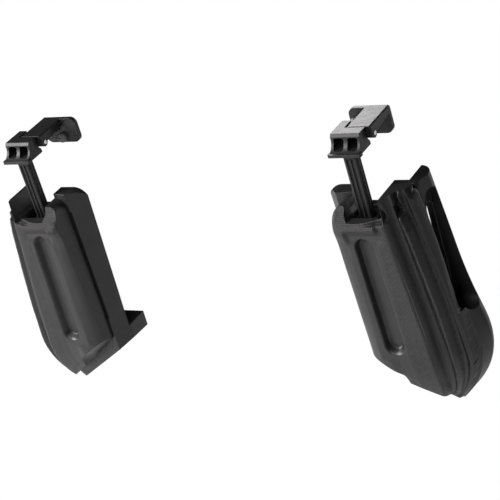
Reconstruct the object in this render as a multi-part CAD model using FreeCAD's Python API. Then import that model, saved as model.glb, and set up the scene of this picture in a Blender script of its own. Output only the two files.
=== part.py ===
import FreeCAD, Part
import math
import os

# Two mirrored hand grips for a phone held on its long edge.
# Frame: X along the phone, +Y towards the screen, +Z up, millimetres.
# Origin: middle of the plane on which the back of the phone rests.

V = FreeCAD.Vector

# the phone the grips are set to
PHONE_HEIGHT = 78.1
PHONE_THICK = 7.8
PHONE_LENGTH = 161.2
PHONE_TOP = PHONE_HEIGHT / 2.0
SEAT_PROUD = 0.4
PAD_THICK = 1.0

# grip body, seen from behind
GRIP_TOP = 21.5
LEFT_WALL_TOP = 13.0
GRIP_END = -68.0
BEND_Z = -38.0
LEAN_OUT = 0.088
STRIP_DRAW = 14.0
LEAN_IN = 0.043
INNER_X = 50.9
SEAM_X = 56.2
SEAM_Y = -6.4
CORNER_X = 56.2
STRIP_X = 77.3
FLANK_X = 86.75
FLANK_LEAN = 0.134
FLANK_Y = -3.2
FLANK_TURN = 0.043
OUTER_X = 88.2
OUTER_LEAN = 0.105
OUTER_END_X = 74.7
SLOT_STEP = 2.05
REAR_Y = -15.4
REAR_END_Y = -3.5
FRONT_Y = 9.6
FRONT_END_Y = 6.0
FRONT_ROUND = 6.0
FRONT_END_ROUND = 2.6
ROLL_Z = 10.6
ROLL_HEIGHT = 1.4
ROLL_SPREAD = 3.2
COVE_START = 12.0
COVE_LENGTH = 7.0
COVE_DEPTH = 3.4
STRIP_SET = 3.4
TOP_ROUND = 6.0
FLUTE_FADE = 0.6
SEAM_OUT_X = 88.0
SEAM_OUT_Y = -2.0
TOP_FACE_POINT = (76.3, -13.0, 20.8)
TOP_FACE_NORMAL = (2.68, -1.97, 1.0)
POD_INNER_X = 57.0
POD_TAB_TOP = 18.6
POD_TAB_ROUND = 4.0
POD_BOTTOM_Z = -41.3
POD_BOTTOM_SLOPE = 0.68
CRADLE_BOTTOM_Z = -47.4
CRADLE_BOTTOM_SLOPE = 0.64
POD_TILT = 0.36
CRADLE_TILT = 0.06
START_FAR = 30.0
END_FAR = 110.0
INNER_TAB_TOP = 20.2
SEAM_GROOVE_HIGH = 13.0
SEAM_GROOVE_LOW = -33.0
FLUTES = ((0.12, -0.8), (0.27, 0.9), (0.47, -1.9), (0.68, 0.9), (0.85, 0.0))
STATIONS = (21.5, 17.0, 14.0, 11.0, 7.0, 0.0, -12.0, -26.0, -38.0, -44.0, -50.0, -56.0, -62.0, -68.0)

# finger groove in the back
GROOVE_X = 67.1
GROOVE_WIDTH = 7.4
GROOVE_TOP = 7.3
GROOVE_BOTTOM = -35.6
GROOVE_RADIUS = 4.6
GROOVE_DEPTH = 1.7

# notch for the arm and cavity behind the back wall
NOTCH_IN = 61.6
NOTCH_OUT = 75.6
NOTCH_Z = 13.9
NOTCH_CHAMFER = 1.8
WALL = 2.0
BACK_WALL = 3.4
PLATE = 2.6
CAVITY_TOP = 11.6
CAVITY_LOW = -49.0

# side slot and port opening in the end wall
END_WALL = 2.2
SLOT_TOP = 17.0
LEFT_SLOT_TOP = 8.5
SLOT_BOTTOM = -28.5
SLOT_FRONT_Y = 6.4
SLOT_REAR_Y = -2.4
PORT_HALF = 11.0
PORT_WIDTH = 4.4

# clamp arm
ARM_X = 67.0
ROD_Y = -8.0
ROD_WIDE = 4.8
ROD_DEEP = 3.5
ROD_FOOT = -24.0
ROD_GROOVE = 0.55
SLIDE_GAP = 0.35
BLOCK_HALF = 5.3
BLOCK_TOP = 42.9
BLOCK_BOTTOM = 36.3
BLOCK_REAR = -9.1
FLANGE_REAR = -12.6
FLANGE_SIDE = 0.7
BLOCK_FRONT = -4.2
CHEEK_FRONT = 0.7
CHEEK_WIDE = 3.2
HOLE_SIDE = 3.6
HOLE_PITCH = 5.1
HOLE_DEEP = 4.2
HOLE_RAISE = 0.1
HOOK_THICK = 0.8
HOOK_PAD = 0.7
LIP_THICK = 0.9
LIP_DROP = 1.2
LIP_GAP = 0.25

# trigger
PIN_Y = -2.2
PIN_Z = 39.7
PIN_RADIUS = 0.75
PIN_FIT = 0.05
BARREL_RADIUS = 1.6
LEVER_IN = -1.8
LEVER_OUT = 7.1
LEVER_THICK = 1.0
LEVER_GAP = 0.35
PADDLE_REAR = 9.6
PADDLE_THICK = 1.6
PADDLE_BOTTOM = 33.4
PADDLE_REACH = 6.0
PADDLE_ROUND = 2.4
SKIRT_THICK = 1.1
SKIRT_BOTTOM = 40.4
TIP_RADIUS = 1.8
TIP_PROUD = 1.4

# arm guide, springs, post, screws
GUIDE_TOP = 12.4
GUIDE_BOTTOM = 5.0
GUIDE_WALL = 1.3
SPRING_X = 74.0
SPRING_RADIUS = 1.6
SPRING_WIRE = 0.7
SPRING_TURNS = 8
COIL_SIDES = 10
WIRE_SIDES = 6
LUG_TOP = -8.0
LUG_THICK = 3.2
LUG_REACH = 8.9
POST_Z = -41.5
POST_RADIUS = 1.0
SCREW_RADIUS = 0.9
SCREW_HEAD = 1.8
SCREW_POINTS = ((60.4, -30.0), (78.2, 6.0), (79.3, -37.5))
BOSS_RADIUS = 2.1
SCREW_LONG = 8.0
COIL_ROOM = 1.45

# soft pads on the seat
PAD_IN = 53.6
PAD_OUT = 79.4
PAD_LOW = -36.6
PAD_HIGH = 17.0

os.makedirs("parts", exist_ok=True)


def clamp01(value):
    return max(0.0, min(1.0, value))


def smooth(value):
    t = clamp01(value)
    return t * t * (3.0 - 2.0 * t)


def box(x0, x1, y0, y1, z0, z1):
    return Part.makeBox(x1 - x0, y1 - y0, z1 - z0, V(x0, y0, z0))


def rod(start, direction, radius, length):
    return Part.makeCylinder(radius, length, start, direction)


def prism(points, sweep):
    closed = list(points) + [points[0]]
    return Part.Face(Part.makePolygon(closed)).extrude(sweep)


def spline(points):
    curve = Part.BSplineCurve()
    curve.interpolate(points)
    return curve.toShape()


def blend(start, end, amount):
    return start + (end - start) * amount


def lower(z):
    return clamp01((BEND_Z - z) / (BEND_Z - GRIP_END))


def round_off(u):
    return 1.0 - (1.0 - u ** 1.7) ** 0.6


def under_y(z):
    return (REAR_END_Y - REAR_Y) * lower(z) ** 1.85


def plain_rear_y(z):
    cove = COVE_DEPTH * smooth((z - COVE_START) / COVE_LENGTH)
    return REAR_Y + cove + under_y(z)


def rear_y(z):
    roll = ROLL_HEIGHT * math.exp(-((z - ROLL_Z) / ROLL_SPREAD) ** 2)
    return plain_rear_y(z) - roll


def strip_y(z):
    rise = 0.25 * smooth((z - COVE_LENGTH) / (GRIP_TOP - COVE_LENGTH))
    drop = STRIP_SET * (1.0 - lower(z)) * (1.0 - rise)
    return REAR_Y + drop + under_y(z)


def inner_x(z):
    return INNER_X - LEAN_IN * max(z, BEND_Z)


def corner_y(z):
    fall = 1.1 + 3.6 * clamp01((COVE_START - z) / 50.0)
    return plain_rear_y(z) + fall * (1.0 - 0.6 * lower(z))


def strip_x(z):
    return STRIP_X - LEAN_OUT * max(z, BEND_Z) - STRIP_DRAW * lower(z) ** 4


def bottom_run(u):
    return u ** 2.33


def flank_x(z):
    if z > BEND_Z:
        return FLANK_X - FLANK_LEAN * z
    set_in = outer_x(BEND_Z) - FLANK_X + FLANK_LEAN * BEND_Z
    return outer_x(z) - set_in * (1.0 - lower(z))


def flank_y(z):
    return FLANK_Y - FLANK_TURN * max(z, BEND_Z) + 0.6 * lower(z)


def outer_x(z):
    step = SLOT_STEP * smooth((-22.0 - z) / 8.0)
    upright = OUTER_X - OUTER_LEAN * max(z, BEND_Z) + step
    return blend(upright, OUTER_END_X, bottom_run(lower(z)))


def flute_scale(z):
    fade = 1.0 - FLUTE_FADE * smooth((z - COVE_START) / (GRIP_TOP - COVE_START))
    return fade * (REAR_Y + under_y(z)) / REAR_Y


def seam_point(z):
    share = blend(1.0, 0.5 * corner_y(z) / SEAM_Y, lower(z))
    return V(SEAM_X, SEAM_Y * share, z)


def ridge_points(strip, flank, scale):
    along = flank.sub(strip)
    out = V(along.y, -along.x, 0.0)
    out.normalize()
    points = [strip]
    for share, height in FLUTES:
        lift = height * scale
        x = strip.x + along.x * share + out.x * lift
        y = strip.y + along.y * share + out.y * lift
        points.append(V(x, y, strip.z))
    points.append(flank)
    return points


def panel_points(corner, strip, z):
    yr = rear_y(z)
    room = strip.x - corner.x
    fall = strip.y - yr
    points = [corner]
    points.append(V(corner.x + 0.10 * room, yr + 0.35 * (corner.y - yr), z))
    points.append(V(corner.x + 0.26 * room, yr, z))
    points.append(V(corner.x + 0.62 * room, yr + 0.04 * fall, z))
    points.append(V(corner.x + 0.80 * room, yr + 0.66 * fall, z))
    points.append(V(corner.x + 0.90 * room, yr + 0.92 * fall, z))
    points.append(strip)
    return points


def section(z):
    """Closed outline of the grip at height z, seen from above."""
    u = lower(z)
    front = blend(FRONT_Y, FRONT_END_Y, round_off(u))
    radius = blend(FRONT_ROUND, FRONT_END_ROUND, round_off(u))
    bow_inset = radius * (1.0 - math.sqrt(0.5))
    xo = outer_x(z)
    near = V(inner_x(z), front, z)
    seat = V(inner_x(z), 0.0, z)
    seam = seam_point(z)
    corner = V(CORNER_X, corner_y(z), z)
    strip = V(strip_x(z), strip_y(z), z)
    flank = V(flank_x(z), flank_y(z), z)
    side = V(xo, front - radius, z)
    bow = V(xo - bow_inset, front - bow_inset, z)
    nose = V(xo - radius, front, z)
    edges = []
    edges.append(Part.makeLine(near, seat))
    edges.append(Part.makeLine(seat, seam))
    edges.append(Part.makeLine(seam, corner))
    edges.append(spline(panel_points(corner, strip, z)))
    edges.append(spline(ridge_points(strip, flank, flute_scale(z))))
    edges.append(Part.makeLine(flank, side))
    edges.append(Part.Arc(side, bow, nose).toShape())
    edges.append(Part.makeLine(nose, near))
    return Part.Wire(edges)


def envelope():
    wires = [section(z) for z in STATIONS]
    return Part.makeLoft(wires, True, False)


def finger_groove():
    """Long cutter with ball ends, sunk GROOVE_DEPTH into the back face."""
    half = GROOVE_WIDTH / 2.0
    depth = GROOVE_DEPTH
    radius = (half * half + depth * depth) / (2.0 * depth)
    y = REAR_Y - radius + depth
    top = V(GROOVE_X, y, GROOVE_TOP - half)
    low = V(GROOVE_X, y, GROOVE_BOTTOM + half)
    core = rod(low, V(0, 0, 1), radius, top.z - low.z)
    balls = [Part.makeSphere(radius, top), Part.makeSphere(radius, low)]
    return core.multiFuse(balls)


def notch_cutter():
    c = NOTCH_CHAMFER
    high = GRIP_TOP + 5.0
    outline = []
    outline.append(V(NOTCH_IN, -25, high))
    outline.append(V(NOTCH_IN, -25, NOTCH_Z + c))
    outline.append(V(NOTCH_IN + 0.6 * c, -25, NOTCH_Z))
    outline.append(V(NOTCH_OUT - c, -25, NOTCH_Z))
    outline.append(V(NOTCH_OUT, -25, NOTCH_Z + c))
    outline.append(V(NOTCH_OUT, -25, high))
    return prism(outline, V(0, 40, 0))


def cavity_outline(z):
    """Room behind the back wall at height z, one wall inside the outline."""
    back = REAR_Y + under_y(z) + BACK_WALL
    deep = -PLATE - SEAT_PROUD
    near = POD_INNER_X + WALL
    far = strip_x(z) + 1.6
    yc = max(corner_y(z) + WALL, back + 0.5)
    points = []
    points.append(V(near, deep, z))
    points.append(V(near, yc, z))
    points.append(V(blend(near, far, 0.18), back, z))
    points.append(V(blend(near, far, 0.58), back, z))
    points.append(V(blend(near, far, 0.86), strip_y(min(z, COVE_START)) + WALL + 0.2, z))
    points.append(V(far, deep, z))
    return Part.makePolygon(points + [points[0]])


def cavity():
    levels = (CAVITY_TOP, 0.5 * BEND_Z, BEND_Z, 0.5 * (BEND_Z + CAVITY_LOW), CAVITY_LOW)
    hollow = Part.makeLoft([cavity_outline(z) for z in levels], True, True)
    mouth_rear = REAR_Y + BACK_WALL
    mouth = box(NOTCH_IN + 1.0, NOTCH_OUT - 1.4, mouth_rear, -PLATE - SEAT_PROUD, CAVITY_TOP - 1.0, NOTCH_Z + 1.0)
    floor = POD_BOTTOM_Z + WALL * math.hypot(1.0, POD_BOTTOM_SLOPE)
    return hollow.fuse(mouth).cut(underside(POD_INNER_X, floor, POD_BOTTOM_SLOPE, POD_TILT))


def rounded_slot(x0, x1, y0, y1, z0, z1):
    """Bar along X with fully rounded ends up and down."""
    half = (y1 - y0) / 2.0
    mid = (y0 + y1) / 2.0
    bar = box(x0, x1, y0, y1, z0 + half, z1 - half)
    ends = [rod(V(x0, mid, z), V(1, 0, 0), half, x1 - x0) for z in (z0 + half, z1 - half)]
    return bar.multiFuse(ends)


def side_slot(top):
    wall_face = PHONE_LENGTH / 2.0 + SEAT_PROUD + END_WALL
    wide = rounded_slot(wall_face, 105.0, SLOT_REAR_Y, SLOT_FRONT_Y, SLOT_BOTTOM, top)
    port_mid = PHONE_THICK / 2.0
    low = port_mid - PORT_WIDTH / 2.0
    port_top = min(PORT_HALF, top - 2.0)
    port = rounded_slot(70.0, 105.0, low, low + PORT_WIDTH, -PORT_HALF, port_top)
    return wide.fuse(port)


def phone_channel():
    return box(-5.0, PHONE_LENGTH / 2.0 + SEAT_PROUD, -SEAT_PROUD, 40.0, -PHONE_TOP - SEAT_PROUD, 80.0)


def top_corner():
    """Removes the square inner top corner down to a round one."""
    x = INNER_X - 1.0
    xm = INNER_X - LEAN_IN * GRIP_TOP + TOP_ROUND
    zm = INNER_TAB_TOP - TOP_ROUND
    block = box(x - 5.0, xm, -8.5, 20.0, zm, GRIP_TOP + 1.0)
    return block.cut(rod(V(xm, -30, zm), V(0, 1, 0), TOP_ROUND, 60.0))


def top_face():
    """Everything above the steep end face of the outer tab."""
    size = 80.0
    block = Part.makeBox(size, size, size, V(-size / 2.0, -size / 2.0, 0.0))
    normal = V(*TOP_FACE_NORMAL)
    block.Placement = FreeCAD.Placement(V(*TOP_FACE_POINT), FreeCAD.Rotation(V(0, 0, 1), normal))
    return block


def underside(start_x, start_z, slope, tilt):
    """Everything under a plane that falls with X and with Y."""
    x0 = START_FAR
    x1 = END_FAR
    y0 = -30.0
    deep = 50.0
    level = start_z - tilt * (y0 - SEAM_Y)
    near = level + slope * (start_x - x0)
    far = level - slope * (x1 - start_x)
    outline = [V(x0, y0, near), V(x1, y0, far), V(x1, y0, far - deep), V(x0, y0, far - deep)]
    return prism(outline, V(0, deep, -tilt * deep))


def pod_trims():
    """Cut the rear shell back from the edge of the cradle: inner side, tab top and underside."""
    high = GRIP_TOP + 5.0
    x = POD_INNER_X
    r = POD_TAB_ROUND
    z = POD_TAB_TOP
    side = box(START_FAR, x, -30.0, 20.0, -90.0, high)
    top = box(START_FAR, NOTCH_IN + 0.5, -30.0, 20.0, z, high)
    corner = box(x - 1.0, x + r, -30.0, 20.0, z - r, z + 1.0)
    corner = corner.cut(rod(V(x + r, -31.0, z - r), V(0, 1, 0), r, 52.0))
    return [side, top, corner, underside(x, POD_BOTTOM_Z, POD_BOTTOM_SLOPE, POD_TILT)]


def seam_tool(gap_side):
    """Everything behind the parting plane of the grip."""
    slope = (SEAM_OUT_Y - SEAM_Y) / (SEAM_OUT_X - SEAM_X)
    x0 = 40.0
    x1 = 110.0
    y0 = SEAM_Y + slope * (x0 - SEAM_X) + gap_side
    y1 = SEAM_Y + slope * (x1 - SEAM_X) + gap_side
    outline = [V(x0, y0, -80), V(x1, y1, -80), V(x1, -60, -80), V(x0, -60, -80)]
    return prism(outline, V(0, 0, 120))


def seam_groove():
    """Shadow line along the parting plane on the inner side."""
    slope = (SEAM_OUT_Y - SEAM_Y) / (SEAM_OUT_X - SEAM_X)
    points = []
    for x, side in ((40.0, -1), (57.8, -1), (57.8, 1), (40.0, 1)):
        points.append(V(x, SEAM_Y + slope * (x - SEAM_X) + side * 0.45, SEAM_GROOVE_LOW))
    return prism(points, V(0, 0, SEAM_GROOVE_HIGH - SEAM_GROOVE_LOW))


def grip_halves(wall_top, slot_top):
    body = envelope()
    tools = [finger_groove(), notch_cutter(), cavity(), side_slot(slot_top), phone_channel()]
    tools.append(top_corner())
    tools.append(top_face())
    tools.append(underside(POD_INNER_X, CRADLE_BOTTOM_Z, CRADLE_BOTTOM_SLOPE, CRADLE_TILT))
    tools.append(seam_groove())
    tools.append(box(40.0, NOTCH_IN + 1.0, -30.0, 30.0, INNER_TAB_TOP, GRIP_TOP + 5.0))
    if wall_top < GRIP_TOP:
        tools.append(box(NOTCH_OUT + 1.4, 110.0, -30.0, 30.0, wall_top, GRIP_TOP + 5.0))
    for tool in tools:
        body = body.cut(tool)
    behind = seam_tool(0.0)
    rear = body.common(behind)
    for tool in pod_trims():
        rear = rear.cut(tool)
    front = body.cut(behind)
    return rear, front


def largest(shape):
    return max(shape.Solids, key=lambda solid: solid.Volume)


def mirrored(shape):
    return shape.mirror(V(0, 0, 0), V(1, 0, 0))


def back_pad_box():
    return box(PAD_IN, PAD_OUT, -PAD_THICK, 0.0, PAD_LOW, PAD_HIGH)


def ledge_pad_box():
    top = -PHONE_TOP
    return box(PAD_IN + 3.0, PAD_OUT - 1.0, 1.2, PHONE_THICK - 1.2, top - PAD_THICK, top)


def end_pad_boxes(wall_top):
    x = PHONE_LENGTH / 2.0
    spans = [(-27.0, -14.0)]
    if wall_top > PORT_HALF + 6.0:
        spans.append((PORT_HALF + 1.5, wall_top - 2.5))
    return [box(x, x + PAD_THICK, 1.4, PHONE_THICK - 1.4, low, high) for low, high in spans]


def rounded_box(block, radius, axis):
    """Rounds the four edges of a box that run along the given axis."""
    edges = []
    for edge in block.Edges:
        tangent = edge.tangentAt(edge.FirstParameter)
        if abs(tangent.dot(axis)) > 0.99:
            edges.append(edge)
    return block.makeFillet(radius, edges)


def screw(x, z):
    head = rod(V(x, -PAD_THICK, z), V(0, -1, 0), SCREW_HEAD, 1.0)
    shank = rod(V(x, -PAD_THICK - 1.0, z), V(0, -1, 0), SCREW_RADIUS, SCREW_LONG)
    return head.fuse(shank)


def boss(x, z):
    y = REAR_Y + BACK_WALL - 0.6
    length = -PLATE - SEAT_PROUD - y
    return rod(V(x, y, z), V(0, 1, 0), BOSS_RADIUS, length)


def arm_guide():
    """Ring that steers the arm, resting on the plate behind the phone."""
    gap = SLIDE_GAP
    half = ROD_WIDE / 2.0 + gap
    near = ROD_Y - ROD_DEEP / 2.0 - gap
    far = ROD_Y + ROD_DEEP / 2.0 + gap
    outer = box(ARM_X - half - GUIDE_WALL, ARM_X + half + GUIDE_WALL,
                near - GUIDE_WALL, -PLATE - SEAT_PROUD, GUIDE_BOTTOM, GUIDE_TOP)
    outer = rounded_box(outer, 0.8, V(0, 0, 1))
    hole = box(ARM_X - half, ARM_X + half, near, far, GUIDE_BOTTOM - 1.0, GUIDE_TOP + 1.0)
    return outer.cut(hole)


def spring_post():
    start = REAR_Y + BACK_WALL + 2.2
    return rod(V(SPRING_X, start, POST_Z), V(0, 1, 0), POST_RADIUS, -PLATE - SEAT_PROUD - start)


def coil(start, axis_turn, radius, wire, pitch, turns):
    """Spring of six-sided wire standing on its start point, with mitred short lengths."""
    points = []
    for i in range(turns * COIL_SIDES + 1):
        angle = 2.0 * math.pi * i / COIL_SIDES
        points.append(V(radius * math.cos(angle), radius * math.sin(angle), pitch * i / COIL_SIDES))
    ahead = points[1].sub(points[0]).normalize()
    out = V(1, 0, 0)
    up = ahead.cross(out)
    ring = []
    for i in range(WIRE_SIDES + 1):
        angle = 2.0 * math.pi * i / WIRE_SIDES
        ring.append(points[0] + out * (0.5 * wire * math.cos(angle)) + up * (0.5 * wire * math.sin(angle)))
    body = Part.makePolygon(points).makePipeShell([Part.makePolygon(ring)], True, False, 1)
    if axis_turn is not None:
        body.rotate(V(0, 0, 0), axis_turn, 90)
    body.translate(start)
    return body


def arm_spring():
    low = POST_Z + POST_RADIUS + SPRING_WIRE / 2.0
    high = LUG_TOP - LUG_THICK - SPRING_WIRE / 2.0
    pitch = (high - low) / SPRING_TURNS
    return coil(V(SPRING_X, ROD_Y, low), None, SPRING_RADIUS, SPRING_WIRE, pitch, SPRING_TURNS)


def grooved_rod(out):
    """Arm rod with two long grooves behind, foot and spring lug below."""
    half = ROD_WIDE / 2.0
    near = ROD_Y - ROD_DEEP / 2.0
    far = ROD_Y + ROD_DEEP / 2.0
    bar = box(-half, half, near, far, ROD_FOOT, BLOCK_BOTTOM + 1.0)
    bar = rounded_box(bar, 0.7, V(0, 0, 1))
    for x in (-ROD_WIDE / 6.0, ROD_WIDE / 6.0):
        bar = bar.cut(rod(V(x, near, -2.0), V(0, 0, 1), ROD_GROOVE, BLOCK_BOTTOM))
    for y in (near + 1.0, far - 1.0):
        bar = bar.cut(rod(V(half, y, -2.0), V(0, 0, 1), 0.7 * ROD_GROOVE, BLOCK_BOTTOM))
        bar = bar.cut(rod(V(-half, y, -2.0), V(0, 0, 1), 0.7 * ROD_GROOVE, BLOCK_BOTTOM))
    foot = box(-half - 1.4, half + 1.4, near - 0.6, far + 1.2, ROD_FOOT, ROD_FOOT + 6.0)
    foot = rounded_box(foot, 1.0, V(0, 1, 0))
    lug = box(0.0, LUG_REACH, ROD_Y - 1.3, ROD_Y + 1.3, LUG_TOP - LUG_THICK, LUG_TOP)
    lug = rounded_box(lug, 1.2, V(0, 1, 0))
    if out < 0:
        lug = mirrored(lug)
    return bar.multiFuse([foot, lug])


def arm_block():
    """Head of the arm: saddle face with two square holes and two lips."""
    top = BLOCK_TOP
    low = BLOCK_BOTTOM
    p = [V(0, BLOCK_REAR, top - 1.0), V(0, BLOCK_REAR + 0.7, top), V(0, BLOCK_FRONT, top)]
    p.append(V(0, BLOCK_FRONT, PIN_Z - 1.0))
    p.append(V(0, BLOCK_FRONT + 1.0, PIN_Z - 2.1))
    p.append(V(0, BLOCK_FRONT + 1.0, low))
    p.append(V(0, FLANGE_REAR, low))
    p.append(V(0, FLANGE_REAR, low + 0.9))
    edges = [Part.makeLine(p[i], p[i + 1]) for i in range(len(p) - 1)]
    lip = V(0, BLOCK_REAR + 0.1, top - 1.9)
    bow = V(0, 0.5 * (FLANGE_REAR + BLOCK_REAR) + 0.95, 0.5 * (top + low) - 0.6)
    edges.append(Part.Arc(p[-1], bow, lip).toShape())
    edges.append(Part.makeLine(lip, p[0]))
    profile = Part.Face(Part.Wire(edges))
    profile.translate(V(-BLOCK_HALF, 0, 0))
    block = profile.extrude(V(2.0 * BLOCK_HALF, 0, 0))
    flange = box(-BLOCK_HALF - FLANGE_SIDE, BLOCK_HALF + FLANGE_SIDE,
                 FLANGE_REAR, FLANGE_REAR + 2.2, low, low + 1.1)
    flange = rounded_box(flange, 0.5, V(0, 0, 1))
    block = block.fuse(flange)
    for x in (-HOLE_PITCH / 2.0, HOLE_PITCH / 2.0):
        half = HOLE_SIDE / 2.0
        mid = 0.5 * (top + low) + HOLE_RAISE
        hole = box(x - half, x + half, FLANGE_REAR - 1.0, BLOCK_REAR + HOLE_DEEP, mid - half, mid + half)
        block = block.cut(rounded_box(hole, 0.8, V(0, 1, 0)))
    return block


def arm_cheek():
    """Side cheek that carries the pin and reaches over the phone edge."""
    x0 = -BLOCK_HALF
    x1 = -BLOCK_HALF + CHEEK_WIDE
    under = PHONE_TOP + HOOK_PAD
    cheek = box(x0, x1, BLOCK_FRONT - 0.5, CHEEK_FRONT, under, BLOCK_TOP)
    ear = rod(V(x0, PIN_Y, PIN_Z), V(1, 0, 0), BARREL_RADIUS, CHEEK_WIDE)
    low = box(x0, x1, BLOCK_FRONT - 0.5, PIN_Y, PIN_Z - BARREL_RADIUS, under + 0.1)
    hook = box(x0, BLOCK_HALF - 0.6, 0.15, PHONE_THICK + LIP_GAP + LIP_THICK, under, under + HOOK_THICK)
    side = box(x0, x1, -1.0, 0.5, under, under + HOOK_THICK)
    lip_y = PHONE_THICK + LIP_GAP
    lip = box(x0, BLOCK_HALF - 0.6, lip_y, lip_y + LIP_THICK, PHONE_TOP - LIP_DROP, under + HOOK_THICK)
    lip = rounded_box(lip, 0.8, V(0, 1, 0))
    shape = cheek.multiFuse([ear, low, hook, side, lip])
    return shape


def clamp_arm(out):
    shape = grooved_rod(out).multiFuse([arm_block(), arm_cheek()])
    bore = rod(V(-BLOCK_HALF - 1.0, PIN_Y, PIN_Z), V(1, 0, 0), PIN_RADIUS, 2.0 * BLOCK_HALF + 2.0)
    shape = shape.cut(bore)
    shape.translate(V(ARM_X * out, 0, 0))
    return largest(shape)


def hook_pad(out):
    pad = box(-BLOCK_HALF + 0.6, BLOCK_HALF - 1.2, 0.6, PHONE_THICK, PHONE_TOP, PHONE_TOP + HOOK_PAD)
    pad = rounded_box(pad, 0.9, V(0, 0, 1))
    pad.translate(V(ARM_X * out, 0, 0))
    return pad


def trigger_lever(out):
    """Lever over the phone edge with its paddle in front of the screen."""
    x0 = LEVER_IN
    x1 = LEVER_OUT
    top = BLOCK_TOP
    rear = BLOCK_FRONT + LEVER_GAP
    far = PADDLE_REAR + PADDLE_THICK
    plate = box(x0, x1, rear, far, top - LEVER_THICK, top)
    barrel = rod(V(x0, PIN_Y, PIN_Z), V(1, 0, 0), BARREL_RADIUS, x1 - x0)
    web = box(x0, x1, PIN_Y - BARREL_RADIUS, PIN_Y + BARREL_RADIUS, PIN_Z, top - 0.4)
    skirt = [V(x1 - SKIRT_THICK, PIN_Y, top), V(x1 - SKIRT_THICK, PIN_Y, PIN_Z)]
    skirt.append(V(x1 - SKIRT_THICK, PIN_Y + BARREL_RADIUS, PIN_Z - 0.3))
    skirt.append(V(x1 - SKIRT_THICK, PHONE_THICK, SKIRT_BOTTOM))
    skirt.append(V(x1 - SKIRT_THICK, far, SKIRT_BOTTOM))
    skirt.append(V(x1 - SKIRT_THICK, far, top))
    outer_skirt = prism(skirt, V(SKIRT_THICK, 0, 0))
    a = x0 - PADDLE_REACH if out > 0 else x0
    b = x1 if out > 0 else x1 + PADDLE_REACH
    paddle = box(a, b, PADDLE_REAR, far, PADDLE_BOTTOM, top)
    paddle = rounded_box(paddle, PADDLE_ROUND, V(0, 1, 0))
    corner = box(x0, x1, PADDLE_REAR, far, top - PADDLE_ROUND, top)
    shape = plate.multiFuse([barrel, web, outer_skirt, paddle, corner])
    bore = rod(V(x0 - 1.0, PIN_Y, PIN_Z), V(1, 0, 0), PIN_RADIUS + PIN_FIT, x1 - x0 + 2.0)
    coil_room = rod(V(1.2, PIN_Y, PIN_Z), V(1, 0, 0), COIL_ROOM, 2.6)
    shape = shape.cut(bore).cut(coil_room).removeSplitter()
    edges = []
    for edge in shape.Edges:
        box_of = edge.BoundBox
        if box_of.ZMin > top - 0.01 and box_of.YLength > 8.0:
            edges.append(edge)
    if edges:
        shape = shape.makeFillet(0.8, edges)
    shape.translate(V(ARM_X * out, 0, 0))
    return largest(shape)


def trigger_pin(out):
    start = -BLOCK_HALF + 0.3
    length = LEVER_OUT + 0.25 - start
    pin = rod(V(ARM_X * out + start, PIN_Y, PIN_Z), V(1, 0, 0), PIN_RADIUS, length)
    return pin


def trigger_spring(out):
    wire = 0.3
    turns = 3
    body = coil(V(ARM_X * out + 1.5, PIN_Y, PIN_Z), V(0, 1, 0), PIN_RADIUS + 0.32, wire, 0.6, turns)
    return body


def trigger_tip(out):
    x = ARM_X * out + (LEVER_IN + LEVER_OUT - out * PADDLE_REACH) / 2.0
    z = PADDLE_BOTTOM + PADDLE_ROUND - 0.3
    stem = rod(V(x, PADDLE_REAR, z), V(0, -1, 0), TIP_RADIUS, TIP_PROUD)
    rim = [edge for edge in stem.Edges if edge.BoundBox.YMax < PADDLE_REAR - TIP_PROUD + 0.01]
    return stem.makeFillet(0.5, rim)


def save(name, shape):
    shape.exportStep("parts/" + name + ".step")


def make_grip(side, out, wall_top, slot_top):
    rear, front = grip_halves(wall_top, slot_top)
    points = SCREW_POINTS
    if wall_top < GRIP_TOP:
        points = [(x, min(z, wall_top - 7.0)) for x, z in points]
    screws = [screw(x, z) for x, z in points]
    behind = seam_tool(0.0)
    room = cavity()
    for x, z in points:
        pillar = boss(x, z).common(behind).common(room.fuse(rear))
        rear = rear.fuse(pillar)
    cuts = Part.makeCompound(screws)
    rear = largest(rear.cut(cuts))
    pads = [back_pad_box().cut(notch_cutter()), ledge_pad_box()]
    ends = end_pad_boxes(wall_top)
    front = front.cut(cuts).cut(Part.makeCompound(pads + ends))
    front = largest(front)
    guide = arm_guide()
    shapes = {}
    shapes["rear_shell"] = rear
    shapes["cradle"] = front
    shapes["back_pad"] = largest(pads[0])
    shapes["ledge_pad"] = pads[1]
    shapes["end_pad"] = Part.makeCompound(ends)
    shapes["cover_screws"] = Part.makeCompound(screws)
    shapes["arm_guide"] = guide
    shapes["spring_post"] = spring_post()
    shapes["arm_spring"] = arm_spring()
    for name, shape in shapes.items():
        if out < 0:
            shape = mirrored(shape)
        save(side + "_" + name, shape)
        report(side + "_" + name, shape)
    heads = {}
    heads["clamp_arm"] = clamp_arm(out)
    heads["hook_pad"] = hook_pad(out)
    heads["trigger_lever"] = trigger_lever(out)
    heads["trigger_pin"] = trigger_pin(out)
    heads["trigger_spring"] = trigger_spring(out)
    heads["trigger_tip"] = trigger_tip(out)
    for name, shape in heads.items():
        save(side + "_" + name, shape)
        report(side + "_" + name, shape)


def report(name, shape):
    b = shape.BoundBox
    line = "%-22s solids %d valid %s volume %.1f" % (name, len(shape.Solids), shape.isValid(), shape.Volume)
    print(line, "x %.1f %.1f y %.1f %.1f z %.1f %.1f" % (b.XMin, b.XMax, b.YMin, b.YMax, b.ZMin, b.ZMax))


make_grip("right", 1, GRIP_TOP, SLOT_TOP)
make_grip("left", -1, LEFT_WALL_TOP, LEFT_SLOT_TOP)
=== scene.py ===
import math
import bmesh
import bpy
from mathutils import Matrix, Vector
from mathutils.bvhtree import BVHTree


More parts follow.
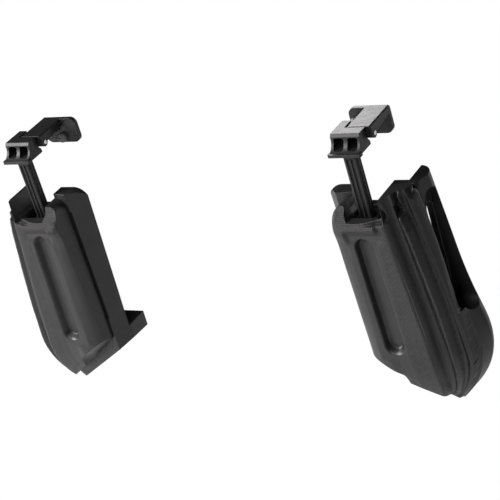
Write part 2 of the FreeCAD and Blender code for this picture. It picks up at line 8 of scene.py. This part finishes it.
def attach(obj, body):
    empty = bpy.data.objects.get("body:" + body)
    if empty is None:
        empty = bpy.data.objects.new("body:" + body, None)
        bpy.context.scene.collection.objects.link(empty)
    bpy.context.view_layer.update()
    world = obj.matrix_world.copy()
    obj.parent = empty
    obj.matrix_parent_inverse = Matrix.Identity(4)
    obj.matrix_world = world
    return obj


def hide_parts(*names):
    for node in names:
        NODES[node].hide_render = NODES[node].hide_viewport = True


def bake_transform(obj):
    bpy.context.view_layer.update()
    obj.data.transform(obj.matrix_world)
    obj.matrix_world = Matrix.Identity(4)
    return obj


# Looks of a pair of clip-on hand grips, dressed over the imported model.
# Metres in the row frame, apart from the values of the back, which are in mm.

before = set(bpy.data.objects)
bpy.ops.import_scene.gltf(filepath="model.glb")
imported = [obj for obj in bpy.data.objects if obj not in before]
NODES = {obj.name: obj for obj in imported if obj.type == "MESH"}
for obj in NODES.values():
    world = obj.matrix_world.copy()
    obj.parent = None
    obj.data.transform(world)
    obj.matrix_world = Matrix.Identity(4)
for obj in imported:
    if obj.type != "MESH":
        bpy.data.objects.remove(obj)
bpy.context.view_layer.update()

MM = 0.001
SIDES = ("right", "left")

# camera of the photograph: place in metres, angles in degrees, lens and sensor in mm
CAMERA_PLACE = (0.34650, -0.45205, 0.27030)
CAMERA_AZIMUTH = 36.55
CAMERA_ELEVATION = 26.15
CAMERA_ROLL = 17.4
CAMERA_LENS = 129.2
SENSOR = 36.0

# lights, surroundings and floor
AIM = (0.0, 0.0, -0.01)
PLAIN_WHITE = (1.0, 1.0, 1.0)
SOFT_WHITE = (1.0, 0.982, 0.985)
RIGHT_HEAD = (0.067, -0.001, 0.0425)
SHEEN_OFFSET = (-0.184, 0.2484, 0.1518)
WORLD_GREY = (0.035, 0.035, 0.036, 1.0)
WORLD_WHITE = (1.0, 1.0, 1.0, 1.0)
FLOOR_HALF = 3.0
FLOOR_Z = -0.16

# surface of the plastic: softened edges and grain
BEVEL = 0.34 * MM
ARM_BEVEL = 0.30 * MM
STEEL_BEVEL = 0.10 * MM
GRAIN_HEIGHT = 0.06 * MM
RUBBER_GRAIN_HEIGHT = 0.08 * MM

# textured strip beside the finger groove and over the rolled rim
RIB_PITCH = 0.95 * MM
RIB_HEIGHT = 0.16 * MM
RIB_ROUGHNESS = 0.06
GROOVE_OUTER = 71.6 * MM
STRIP_EDGE_X = 77.0 * MM
STRIP_EDGE_LEAN = -0.088
STRIP_EDGE_FADE = 0.4 * MM
STRIP_INNER = 57.0 * MM
STRIP_TOP = 8.6 * MM
STRIP_FADE = 1.2 * MM
STRIP_REAR = 8.5 * MM
STRIP_REAR_FADE = 1.0 * MM

# outline of the back, in mm: how it draws in from the bend to the lower end
REAR_Y = -15.4
REAR_END_Y = -3.5
REAR_POWER = 1.85
BEND_Z = -38.0
GRIP_END = -68.0
OUTER_TURN_X = 94.24
OUTER_END_X = 74.7
OUTER_POWER = 2.33
STRIP_DRAW = 14.0
STRIP_POWER = 4

# lines that run down the back, in mm: (share of the outer edge's draw, depth y, ((z, x), ...))
LINES = (
    (0.0, -15.3, ((21.0, 72.0), (-41.0, 73.8))),
    (0.0, -15.35, ((21.0, 73.4), (-41.0, 76.6))),
    (0.0, -15.3, ((21.0, 74.6), (9.7, 75.3), (-1.5, 76.3), (-14.7, 77.9), (-29.0, 79.1), (-41.5, 80.0))),
    (0.05, -14.9, ((21.0, 75.6), (12.4, 76.3), (2.8, 77.3), (-12.7, 79.0), (-26.9, 80.3), (-43.9, 81.1))),
    (0.05, -14.1, ((21.0, 76.1), (12.4, 76.9), (2.8, 77.9), (-12.7, 79.6), (-26.9, 80.9), (-43.9, 81.7))),
    (0.1, -11.9, ((21.0, 77.0), (12.4, 77.7), (2.8, 78.7), (-12.7, 80.4), (-26.9, 81.7), (-43.9, 82.5))),
    (0.2, -11.0, ((21.0, 77.9), (12.4, 78.5), (2.8, 79.6), (-12.7, 81.3), (-26.9, 82.6), (-43.9, 83.4))),
    (0.3, -11.0, ((21.0, 78.7), (12.4, 79.3), (2.8, 80.7), (-12.7, 82.4), (-26.9, 83.9), (-43.9, 84.8))),
    (0.45, -11.8, ((21.0, 79.5), (14.1, 80.0), (8.2, 81.3), (-8.3, 83.5), (-24.4, 85.3), (-40.4, 86.3))),
    (0.5, -11.5, ((21.0, 80.0), (14.1, 80.6), (8.2, 81.9), (-8.3, 84.1), (-24.4, 85.9), (-40.4, 86.9))),
    (0.54, -10.4, ((21.0, 80.4), (14.1, 81.0), (8.2, 82.3), (-8.3, 84.5), (-24.4, 86.3), (-40.4, 87.3))),
    (0.6, -7.6, ((21.0, 80.9), (14.1, 81.5), (8.2, 82.8), (-8.3, 85.0), (-24.4, 86.9), (-40.4, 87.9))),
    (0.66, -7.0, ((21.0, 81.5), (14.1, 82.2), (8.2, 83.5), (-8.3, 85.8), (-24.4, 87.7), (-40.4, 88.8))),
    (0.74, -7.5, ((21.0, 82.4), (12.2, 83.4), (0.3, 84.9), (-16.3, 87.3), (-35.3, 89.3), (-44.3, 90.2))),
    (0.8, -6.8, ((21.0, 83.2), (12.2, 84.2), (0.3, 85.7), (-16.3, 88.2), (-35.3, 90.5), (-44.3, 91.3))),
)
LINES_FADE = 1.5
RIM_Z = 12.6
RIM_FADE = 1.2
RIM_OUTER_X = 75.9
RIM_OUTER_FADE = 0.8

# flat panel beside the flutes, in mm: rolled rim at its top and a cove below the rim
PANEL_START = 60.5
PANEL_FADE = 1.6
PANEL_LOW_Z = -38.4
PANEL_LOW_FADE = 2.0
PANEL_LOW_X = 69.0
PANEL_LOW_X_FADE = 4.0
ROLL_Z = 11.8
ROLL_SPREAD = 1.9
ROLL_OUT = 1.2
COVE_Z = 7.6
COVE_SPREAD = 1.7
COVE_IN = 0.35

# finger groove in the panel, in mm: floor widths are shares of its half width
GROOVE_MIDDLE = 67.05
GROOVE_LEAN = -0.032
GROOVE_HALF = 3.65
GROOVE_WIDEN = 0.008
GROOVE_TOP = 8.0
GROOVE_LOW = -37.6
GROOVE_DEPTH = 2.5
FLOOR_INNER = 0.72
FLOOR_OUTER = 0.45
FLOOR_LOW_END = 0.15

# fine cuts of the back's mesh, in mm: (lowest, highest, step)
FLUTE_LEAN = 0.105
FLUTE_CUTS = (60.4, 88.4, 0.4)
LEVEL_CUTS = ((-65.0, -41.0, 1.6), (-40.2, -31.4, 0.8), (-28.0, 0.0, 4.0), (1.6, 20.8, 0.8))

# in metres: weld distance of the cuts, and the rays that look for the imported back
CUT_TOLERANCE = 1e-7
RAY_START_Y = -0.05
RAY_SPREAD = 0.02 * MM

# edges that turn by more than this many degrees are drawn sharp
SHARP_ANGLE = 38.0

# which points of the back move, in mm
FRONT_Y = -2.0
BACK_WALL = 3.4
WALL_MARGIN = 0.7
WHOLE_X = (PANEL_START + 2.0, 73.0)
WHOLE_Z = (-39.0, 9.0)
SKIN = 0.5
SKIN_FADE = 1.4
TOP_Z = 13.0
TOP_FADE = 2.5
TOP_MOVE = 2.0
TOP_MOVE_FADE = 2.0


class Nodes:
    """Short way to write node trees."""

    def __init__(self, tree):
        self.tree = tree

    def add(self, kind, **values):
        node = self.tree.nodes.new(kind)
        for key, value in values.items():
            setattr(node, key, value)
        return node

    def join(self, source, target):
        self.tree.links.new(source, target)

    def feed(self, socket, value):
        if isinstance(value, bpy.types.NodeSocket):
            self.join(value, socket)
        else:
            socket.default_value = value

    def math(self, operation, a, b=0.0, c=None):
        node = self.add("ShaderNodeMath", operation=operation)
        self.feed(node.inputs[0], a)
        self.feed(node.inputs[1], b)
        if c is not None:
            self.feed(node.inputs[2], c)
        return node.outputs[0]

    def step(self, value, low, high):
        """Goes smoothly from 0 at low to 1 at high."""
        node = self.add("ShaderNodeMapRange", interpolation_type="SMOOTHSTEP")
        self.feed(node.inputs["Value"], value)
        self.feed(node.inputs["From Min"], low)
        self.feed(node.inputs["From Max"], high)
        return node.outputs["Result"]

    def spread(self, value, low, high):
        """Maps 0 to 1 onto low to high."""
        node = self.add("ShaderNodeMapRange")
        self.join(value, node.inputs["Value"])
        node.inputs["To Min"].default_value = low
        node.inputs["To Max"].default_value = high
        return node.outputs["Result"]

    def noise(self, vector, scale, detail=3.0, roughness=0.5):
        node = self.add("ShaderNodeTexNoise")
        self.join(vector, node.inputs["Vector"])
        node.inputs["Scale"].default_value = scale
        node.inputs["Detail"].default_value = detail
        node.inputs["Roughness"].default_value = roughness
        return node.outputs["Fac"]

    def ramp(self, value, stops):
        node = self.add("ShaderNodeValToRGB")
        self.join(value, node.inputs["Fac"])
        ramp = node.color_ramp
        while len(ramp.elements) < len(stops):
            ramp.elements.new(0.5)
        for element, (place, colour) in zip(ramp.elements, stops):
            element.position = place
            element.color = (*colour, 1.0)
        return node.outputs["Color"]

    def bump(self, height, strength, distance, normal):
        node = self.add("ShaderNodeBump")
        self.join(height, node.inputs["Height"])
        node.inputs["Strength"].default_value = strength
        node.inputs["Distance"].default_value = distance
        self.join(normal, node.inputs["Normal"])
        return node.outputs["Normal"]

    def place(self):
        return self.add("ShaderNodeTexCoord").outputs["Object"]

    def soft_edges(self, radius):
        bevel = self.add("ShaderNodeBevel", samples=6)
        bevel.inputs["Radius"].default_value = radius
        return bevel.outputs["Normal"]


def new_material(name):
    """A fresh material, its shader and a helper for its nodes."""
    material = bpy.data.materials.new(name)
    material.use_nodes = True
    tree = material.node_tree
    return material, tree.nodes["Principled BSDF"], Nodes(tree)


def knurl(n, away, height, pitch):
    """Two crossing sets of fine ribs, as heights from 0 to 1."""
    total = n.math("ADD", away, height)
    apart = n.math("SUBTRACT", away, height)
    rate = 2.0 * math.pi / pitch
    first = n.math("SINE", n.math("MULTIPLY", total, rate))
    second = n.math("SINE", n.math("MULTIPLY", apart, rate))
    both = n.math("MULTIPLY", first, second)
    return n.math("MULTIPLY_ADD", both, 0.5, 0.5)


def strip_mask(n, away, y, z):
    """1 on the textured strip and the rim, 0 elsewhere, with soft borders."""
    past_groove = n.step(away, GROOVE_OUTER, GROOVE_OUTER + STRIP_FADE)
    edge = n.math("MULTIPLY_ADD", z, STRIP_EDGE_LEAN, STRIP_EDGE_X)
    before_edge = n.step(n.math("SUBTRACT", edge, away), -STRIP_EDGE_FADE, STRIP_EDGE_FADE)
    over_rim = n.step(z, STRIP_TOP, STRIP_TOP + STRIP_FADE)
    past_inner = n.step(away, STRIP_INNER, STRIP_INNER + STRIP_FADE)
    rear = n.step(n.math("MULTIPLY", y, -1.0), STRIP_REAR, STRIP_REAR + STRIP_REAR_FADE)
    mask = n.math("MAXIMUM", past_groove, over_rim)
    for limit in (before_edge, past_inner, rear):
        mask = n.math("MULTIPLY", mask, limit)
    return mask


def plastic(name, dark, light, rough, specular, bevel=BEVEL, knurled=False):
    """Moulded plastic: fine grain, slight mottling, softened edges, and ribs where it is knurled."""
    material, shader, n = new_material(name)
    coords = n.place()
    cloud = n.noise(coords, 90.0, 4.0, 0.55)
    n.join(n.ramp(cloud, ((0.30, dark), (0.72, light))), shader.inputs["Base Color"])
    roughness = n.spread(n.noise(coords, 420.0, 3.0, 0.6), rough - 0.05, rough + 0.06)
    grain = n.noise(coords, 5200.0, 2.0, 0.6)
    normal = n.bump(grain, 0.12, GRAIN_HEIGHT, n.soft_edges(bevel))
    if knurled:
        split = n.add("ShaderNodeSeparateXYZ")
        n.join(coords, split.inputs[0])
        away = n.math("ABSOLUTE", split.outputs["X"])
        mask = strip_mask(n, away, split.outputs["Y"], split.outputs["Z"])
        ribs = knurl(n, away, split.outputs["Z"], RIB_PITCH)
        normal = n.bump(n.math("MULTIPLY", ribs, mask), 1.0, RIB_HEIGHT, normal)
        roughness = n.math("MULTIPLY_ADD", mask, RIB_ROUGHNESS, roughness)
    n.join(roughness, shader.inputs["Roughness"])
    n.join(normal, shader.inputs["Normal"])
    shader.inputs["IOR"].default_value = 1.49
    shader.inputs["Specular IOR Level"].default_value = specular
    return material


def rubber(name, dark, light, rough):
    """Dull rubber: cloudy colour and a fine grain."""
    material, shader, n = new_material(name)
    coords = n.place()
    cloud = n.noise(coords, 260.0, 4.0, 0.6)
    n.join(n.ramp(cloud, ((0.3, dark), (0.7, light))), shader.inputs["Base Color"])
    n.join(n.spread(cloud, rough, rough + 0.12), shader.inputs["Roughness"])
    grain = n.noise(coords, 3600.0, 2.0)
    n.join(n.bump(grain, 0.3, RUBBER_GRAIN_HEIGHT, n.soft_edges(BEVEL)), shader.inputs["Normal"])
    shader.inputs["Specular IOR Level"].default_value = 0.35
    return material


def steel(name, dark, light, rough):
    """Drawn or ground steel, with fine lines along X."""
    material, shader, n = new_material(name)
    stretch = n.add("ShaderNodeMapping")
    stretch.inputs["Scale"].default_value = (60.0, 1400.0, 1400.0)
    n.join(n.place(), stretch.inputs["Vector"])
    lines = n.noise(stretch.outputs["Vector"], 1.0, 2.0)
    n.join(n.ramp(lines, ((0.25, dark), (0.75, light))), shader.inputs["Base Color"])
    n.join(n.spread(lines, rough, rough + 0.12), shader.inputs["Roughness"])
    n.join(n.soft_edges(STEEL_BEVEL), shader.inputs["Normal"])
    shader.inputs["Metallic"].default_value = 1.0
    return material


def dress(node, material):
    shape = NODES[node].data
    shape.materials.clear()
    shape.materials.append(material)


def dress_all():
    housing = plastic("Housing_plastic", (0.0105, 0.0099, 0.0102), (0.0150, 0.0141, 0.0146),
                      rough=0.43, specular=0.5, knurled=True)
    arm = plastic("Arm_plastic", (0.0095, 0.0090, 0.0093), (0.0140, 0.0131, 0.0135),
                  rough=0.46, specular=0.36, bevel=ARM_BEVEL)
    pad = rubber("Pad_rubber", (0.010, 0.010, 0.011), (0.016, 0.016, 0.017), rough=0.72)
    tip = rubber("Tip_rubber", (0.10, 0.10, 0.105), (0.14, 0.14, 0.145), rough=0.6)
    bright = steel("Bright_steel", (0.62, 0.62, 0.63), (0.82, 0.82, 0.83), rough=0.14)
    wire = steel("Spring_wire", (0.40, 0.40, 0.41), (0.56, 0.56, 0.57), rough=0.26)
    finishes = (
        (housing, ("rear_shell", "cradle", "arm_guide")),
        (arm, ("clamp_arm", "trigger_lever")),
        (pad, ("back_pad", "ledge_pad", "end_pad", "hook_pad")),
        (tip, ("trigger_tip",)),
        (bright, ("cover_screws", "spring_post", "trigger_pin")),
        (wire, ("arm_spring", "trigger_spring")),
    )
    for side in SIDES:
        for material, parts in finishes:
            for part in parts:
                dress(side + "_" + part, material)


def outwards(side):
    """Sign of X on this side."""
    return 1.0 if side == "right" else -1.0


def clamp01(value):
    return max(0.0, min(1.0, value))


def smooth(value):
    t = clamp01(value)
    return t * t * (3.0 - 2.0 * t)


def along(points, place):
    """Value at a place on a line through points (place, value), level past its ends."""
    ordered = sorted(points)
    if place <= ordered[0][0]:
        return ordered[0][1]
    for (p0, v0), (p1, v1) in zip(ordered, ordered[1:]):
        if place <= p1:
            return v0 + (v1 - v0) * (place - p0) / (p1 - p0)
    return ordered[-1][1]


def lower(z):
    """0 above the bend, 1 at the lower end of the grip."""
    return clamp01((BEND_Z - z) / (BEND_Z - GRIP_END))


def under_share(z):
    """How far the back still stands out, from 1 above the bend to less below it."""
    return 1.0 - (1.0 - REAR_END_Y / REAR_Y) * lower(z) ** REAR_POWER


def line_x(share, points, z):
    """Where a line of LINES lies at a height, drawn in below the bend."""
    u = lower(z)
    strip_shift = -STRIP_DRAW * u ** STRIP_POWER
    outer_shift = (OUTER_END_X - OUTER_TURN_X) * u ** OUTER_POWER
    return along(points, z) + strip_shift + (outer_shift - strip_shift) * share


def groove_depth(x, z):
    """Depth of the finger groove: a long hollow with round ends and a steep inner wall."""
    half = GROOVE_HALF - GROOVE_WIDEN * z
    middle = GROOVE_MIDDLE + GROOVE_LEAN * z
    high = GROOVE_TOP - half
    low = GROOVE_LOW + half
    over = max(z - high, 0.0) + min(z - low, 0.0)
    side = x - middle
    reach = math.hypot(side, over) / half
    start = FLOOR_INNER if side < 0.0 else FLOOR_OUTER
    if over < 0.0:
        start += (FLOOR_LOW_END - start) * clamp01(-over / half)
    return GROOVE_DEPTH * (1.0 - smooth((reach - start) / (1.0 - start)))


def panel_y(z):
    """Depth of the panel without its groove."""
    roll = ROLL_OUT * math.exp(-((z - ROLL_Z) / ROLL_SPREAD) ** 2)
    cove = COVE_IN * math.exp(-((z - COVE_Z) / COVE_SPREAD) ** 2)
    return REAR_Y * under_share(z) - roll + cove


def panel_back(x, z, packed):
    """Depth of the finished panel, as packed at its inner edge, above the rim and low down."""
    wanted = panel_y(z) + groove_depth(x, z)
    inner = smooth((PANEL_START + PANEL_FADE - x) / PANEL_FADE)
    above = smooth((z - RIM_Z) / RIM_FADE)
    low = smooth((PANEL_LOW_Z - z) / PANEL_LOW_FADE) * smooth((PANEL_LOW_X - x) / PANEL_LOW_X_FADE)
    return wanted + (packed - wanted) * max(inner, above, low)


def back_y(x, z, packed):
    """Depth of the finished back at (x, z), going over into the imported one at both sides."""
    share_down = under_share(z)
    spots = [(line_x(share, points, z), y * share_down) for share, y, points in LINES]
    first_x = spots[0][0]
    last_x = spots[-1][0]
    if x <= first_x:
        return panel_back(x, z, packed)
    if x >= last_x + LINES_FADE:
        return packed
    wanted = along(spots, min(x, last_x))
    near_panel = smooth((first_x + LINES_FADE - x) / LINES_FADE)
    wanted = wanted + (panel_back(x, z, packed) - wanted) * near_panel
    rim = smooth((z - RIM_Z) / RIM_FADE) * smooth((RIM_OUTER_X - x) / RIM_OUTER_FADE)
    outer = smooth((x - last_x) / LINES_FADE)
    return wanted + (packed - wanted) * max(rim, outer)


def cut_fine(net, normal, low, high, step):
    """Cuts every face of the mesh along evenly spaced planes."""
    count = int(round((high - low) / step))
    for i in range(count + 1):
        place = normal * ((low + step * i) * MM / normal.length_squared)
        bmesh.ops.bisect_plane(net, geom=net.verts[:] + net.edges[:] + net.faces[:],
                               dist=CUT_TOLERANCE, plane_co=place, plane_no=normal)


def first_hit(tree, x, z):
    """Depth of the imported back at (x, z) seen from behind, or None where there is nothing."""
    depths = []
    for dx, dz in ((1, 1), (-1, 1), (1, -1), (-1, -1)):
        start = Vector((x + dx * RAY_SPREAD, RAY_START_Y, z + dz * RAY_SPREAD))
        hit = tree.ray_cast(start, Vector((0.0, 1.0, 0.0)))[0]
        if hit is not None:
            depths.append(hit.y)
    return min(depths, default=None)


def move_of(place, tree):
    """How far a point of the back moves along Y, in mm; the inner faces of the wall stay."""
    if place.y > FRONT_Y * MM:
        return 0.0
    hit = first_hit(tree, place.x, place.z)
    if hit is None:
        return 0.0
    packed = hit / MM
    x = abs(place.x) / MM
    y = place.y / MM
    z = place.z / MM
    wanted = back_y(x, z, packed)
    inner_face = REAR_Y * under_share(z) + BACK_WALL
    in_panel = WHOLE_X[0] < x < WHOLE_X[1] and WHOLE_Z[0] < z < WHOLE_Z[1]
    if in_panel and y < inner_face - WALL_MARGIN:
        return wanted - y
    hold = 1.0 - smooth((y - packed - SKIN) / SKIN_FADE)
    if z > TOP_Z:
        far = smooth((abs(wanted - packed) - TOP_MOVE) / TOP_MOVE_FADE)
        hold *= 1.0 - far * smooth((z - TOP_Z) / TOP_FADE)
    return (wanted - packed) * hold


def fluted_back(side):
    """The rear shell with the sharper flutes and the deeper finger groove of the real one."""
    node = NODES[side + "_rear_shell"]
    net = bmesh.new()
    net.from_mesh(node.data)
    tree = BVHTree.FromBMesh(net)
    cut_fine(net, Vector((outwards(side), 0.0, FLUTE_LEAN)), *FLUTE_CUTS)
    for cuts in LEVEL_CUTS:
        cut_fine(net, Vector((0.0, 0.0, 1.0)), *cuts)
    for vertex in net.verts:
        vertex.co.y += move_of(vertex.co, tree) * MM
    bmesh.ops.triangulate(net, faces=net.faces[:])
    shape = bpy.data.meshes.new(side + "_fluted_back")
    net.to_mesh(shape)
    net.free()
    for face in shape.polygons:
        face.use_smooth = True
    shape.set_sharp_from_angle(angle=math.radians(SHARP_ANGLE))
    shape.materials.append(node.data.materials[0])
    piece = bpy.data.objects.new(side + "_fluted_back", shape)
    bpy.context.scene.collection.objects.link(piece)
    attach(piece, "grips")
    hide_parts(side + "_rear_shell")


def pull_spring(side):
    """A plain copy of the arm's pull spring between its post and the arm's lug, shown in place of the
    imported one.
    """
    node = NODES[side + "_arm_spring"]
    piece = bpy.data.objects.new(side + "_pull_spring", node.data.copy())
    bpy.context.scene.collection.objects.link(piece)
    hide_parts(side + "_arm_spring")
    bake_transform(piece)


def camera_axes():
    """Ahead, right and up of the photograph's camera."""
    azimuth = math.radians(CAMERA_AZIMUTH)
    elevation = math.radians(CAMERA_ELEVATION)
    roll = math.radians(CAMERA_ROLL)
    ahead = Vector((-math.sin(azimuth) * math.cos(elevation), math.cos(azimuth) * math.cos(elevation),
                    -math.sin(elevation)))
    level = ahead.cross(Vector((0, 0, 1))).normalized()
    upward = level.cross(ahead)
    right = level * math.cos(roll) - upward * math.sin(roll)
    up = level * math.sin(roll) + upward * math.cos(roll)
    return ahead, right, up


def make_camera():
    data = bpy.data.cameras.new("Camera")
    data.lens = CAMERA_LENS
    data.sensor_width = SENSOR
    data.clip_start = 0.01
    data.clip_end = 50.0
    camera = bpy.data.objects.new("Camera", data)
    bpy.context.scene.collection.objects.link(camera)
    ahead, right, up = camera_axes()
    turn = Matrix((right, up, -ahead)).transposed().to_4x4()
    camera.matrix_world = Matrix.Translation(Vector(CAMERA_PLACE)) @ turn
    bpy.context.scene.camera = camera


def area_light(name, place, aim, size, power, tint=PLAIN_WHITE):
    data = bpy.data.lights.new(name, "AREA")
    data.shape = "RECTANGLE"
    data.size = size[0]
    data.size_y = size[1]
    data.energy = power
    data.color = tint
    light = bpy.data.objects.new(name, data)
    bpy.context.scene.collection.objects.link(light)
    light.location = place
    light.rotation_mode = "QUATERNION"
    light.rotation_quaternion = (Vector(aim) - Vector(place)).to_track_quat("-Z", "Y")
    return light


def from_camera(right, up, back):
    """A place given from AIM by the photograph's own right, up and towards the viewer."""
    ahead, rightwards, upwards = camera_axes()
    return Vector(AIM) + rightwards * right + upwards * up - ahead * back


def make_lights():
    area_light("Key", from_camera(right=-0.95, up=0.20, back=0.28), aim=(0.05, 0.0, -0.02),
               size=(0.30, 0.60), power=19.0, tint=SOFT_WHITE)
    area_light("Front", from_camera(right=-0.35, up=0.18, back=0.85), aim=AIM,
               size=(0.30, 0.30), power=3.2, tint=SOFT_WHITE)
    area_light("Rim", from_camera(right=0.70, up=0.30, back=-0.25), aim=AIM,
               size=(0.15, 0.7), power=1.4)
    head = Vector(RIGHT_HEAD)
    sheen = area_light("Sheen", head + Vector(SHEEN_OFFSET), aim=head,
                       size=(0.13, 0.13), power=0.8, tint=SOFT_WHITE)
    sheen.visible_camera = False
    lit = bpy.data.collections.new("Right_head")
    for part in ("clamp_arm", "trigger_lever", "trigger_pin"):
        lit.objects.link(NODES["right_" + part])
    sheen.light_linking.receiver_collection = lit


def make_world():
    """Plain grey surroundings, white where the camera sees them directly."""
    world = bpy.data.worlds.new("World")
    bpy.context.scene.world = world
    world.use_nodes = True
    n = Nodes(world.node_tree)
    background = world.node_tree.nodes["Background"]
    path = n.add("ShaderNodeLightPath")
    shade = n.add("ShaderNodeMix", data_type="RGBA")
    n.join(path.outputs["Is Camera Ray"], shade.inputs["Factor"])
    shade.inputs["A"].default_value = WORLD_GREY
    shade.inputs["B"].default_value = WORLD_WHITE
    n.join(shade.outputs["Result"], background.inputs["Color"])


def make_floor():
    """Pale floor well below the held-up part; the camera sees it as plain white."""
    mesh = bpy.data.meshes.new("Floor")
    corners = [(x * FLOOR_HALF, y * FLOOR_HALF, FLOOR_Z) for x, y in ((-1, -1), (1, -1), (1, 1), (-1, 1))]
    mesh.from_pydata(corners, [], [(0, 1, 2, 3)])
    floor = bpy.data.objects.new("Floor", mesh)
    bpy.context.scene.collection.objects.link(floor)
    material, shader, n = new_material("Floor_paint")
    colour = n.ramp(n.noise(n.place(), 6.0), ((0.2, (0.78, 0.78, 0.78)), (0.8, (0.82, 0.82, 0.82))))
    n.join(colour, shader.inputs["Base Color"])
    shader.inputs["Roughness"].default_value = 0.9
    glow = n.add("ShaderNodeEmission")
    path = n.add("ShaderNodeLightPath")
    mix = n.add("ShaderNodeMixShader")
    n.join(path.outputs["Is Camera Ray"], mix.inputs["Fac"])
    n.join(shader.outputs[0], mix.inputs[1])
    n.join(glow.outputs[0], mix.inputs[2])
    n.join(mix.outputs[0], n.tree.nodes["Material Output"].inputs["Surface"])
    mesh.materials.append(material)


dress_all()
for side in SIDES:
    fluted_back(side)
    pull_spring(side)
make_camera()
make_lights()
make_world()
make_floor()

bpy.context.scene.view_settings.view_transform = "Standard"
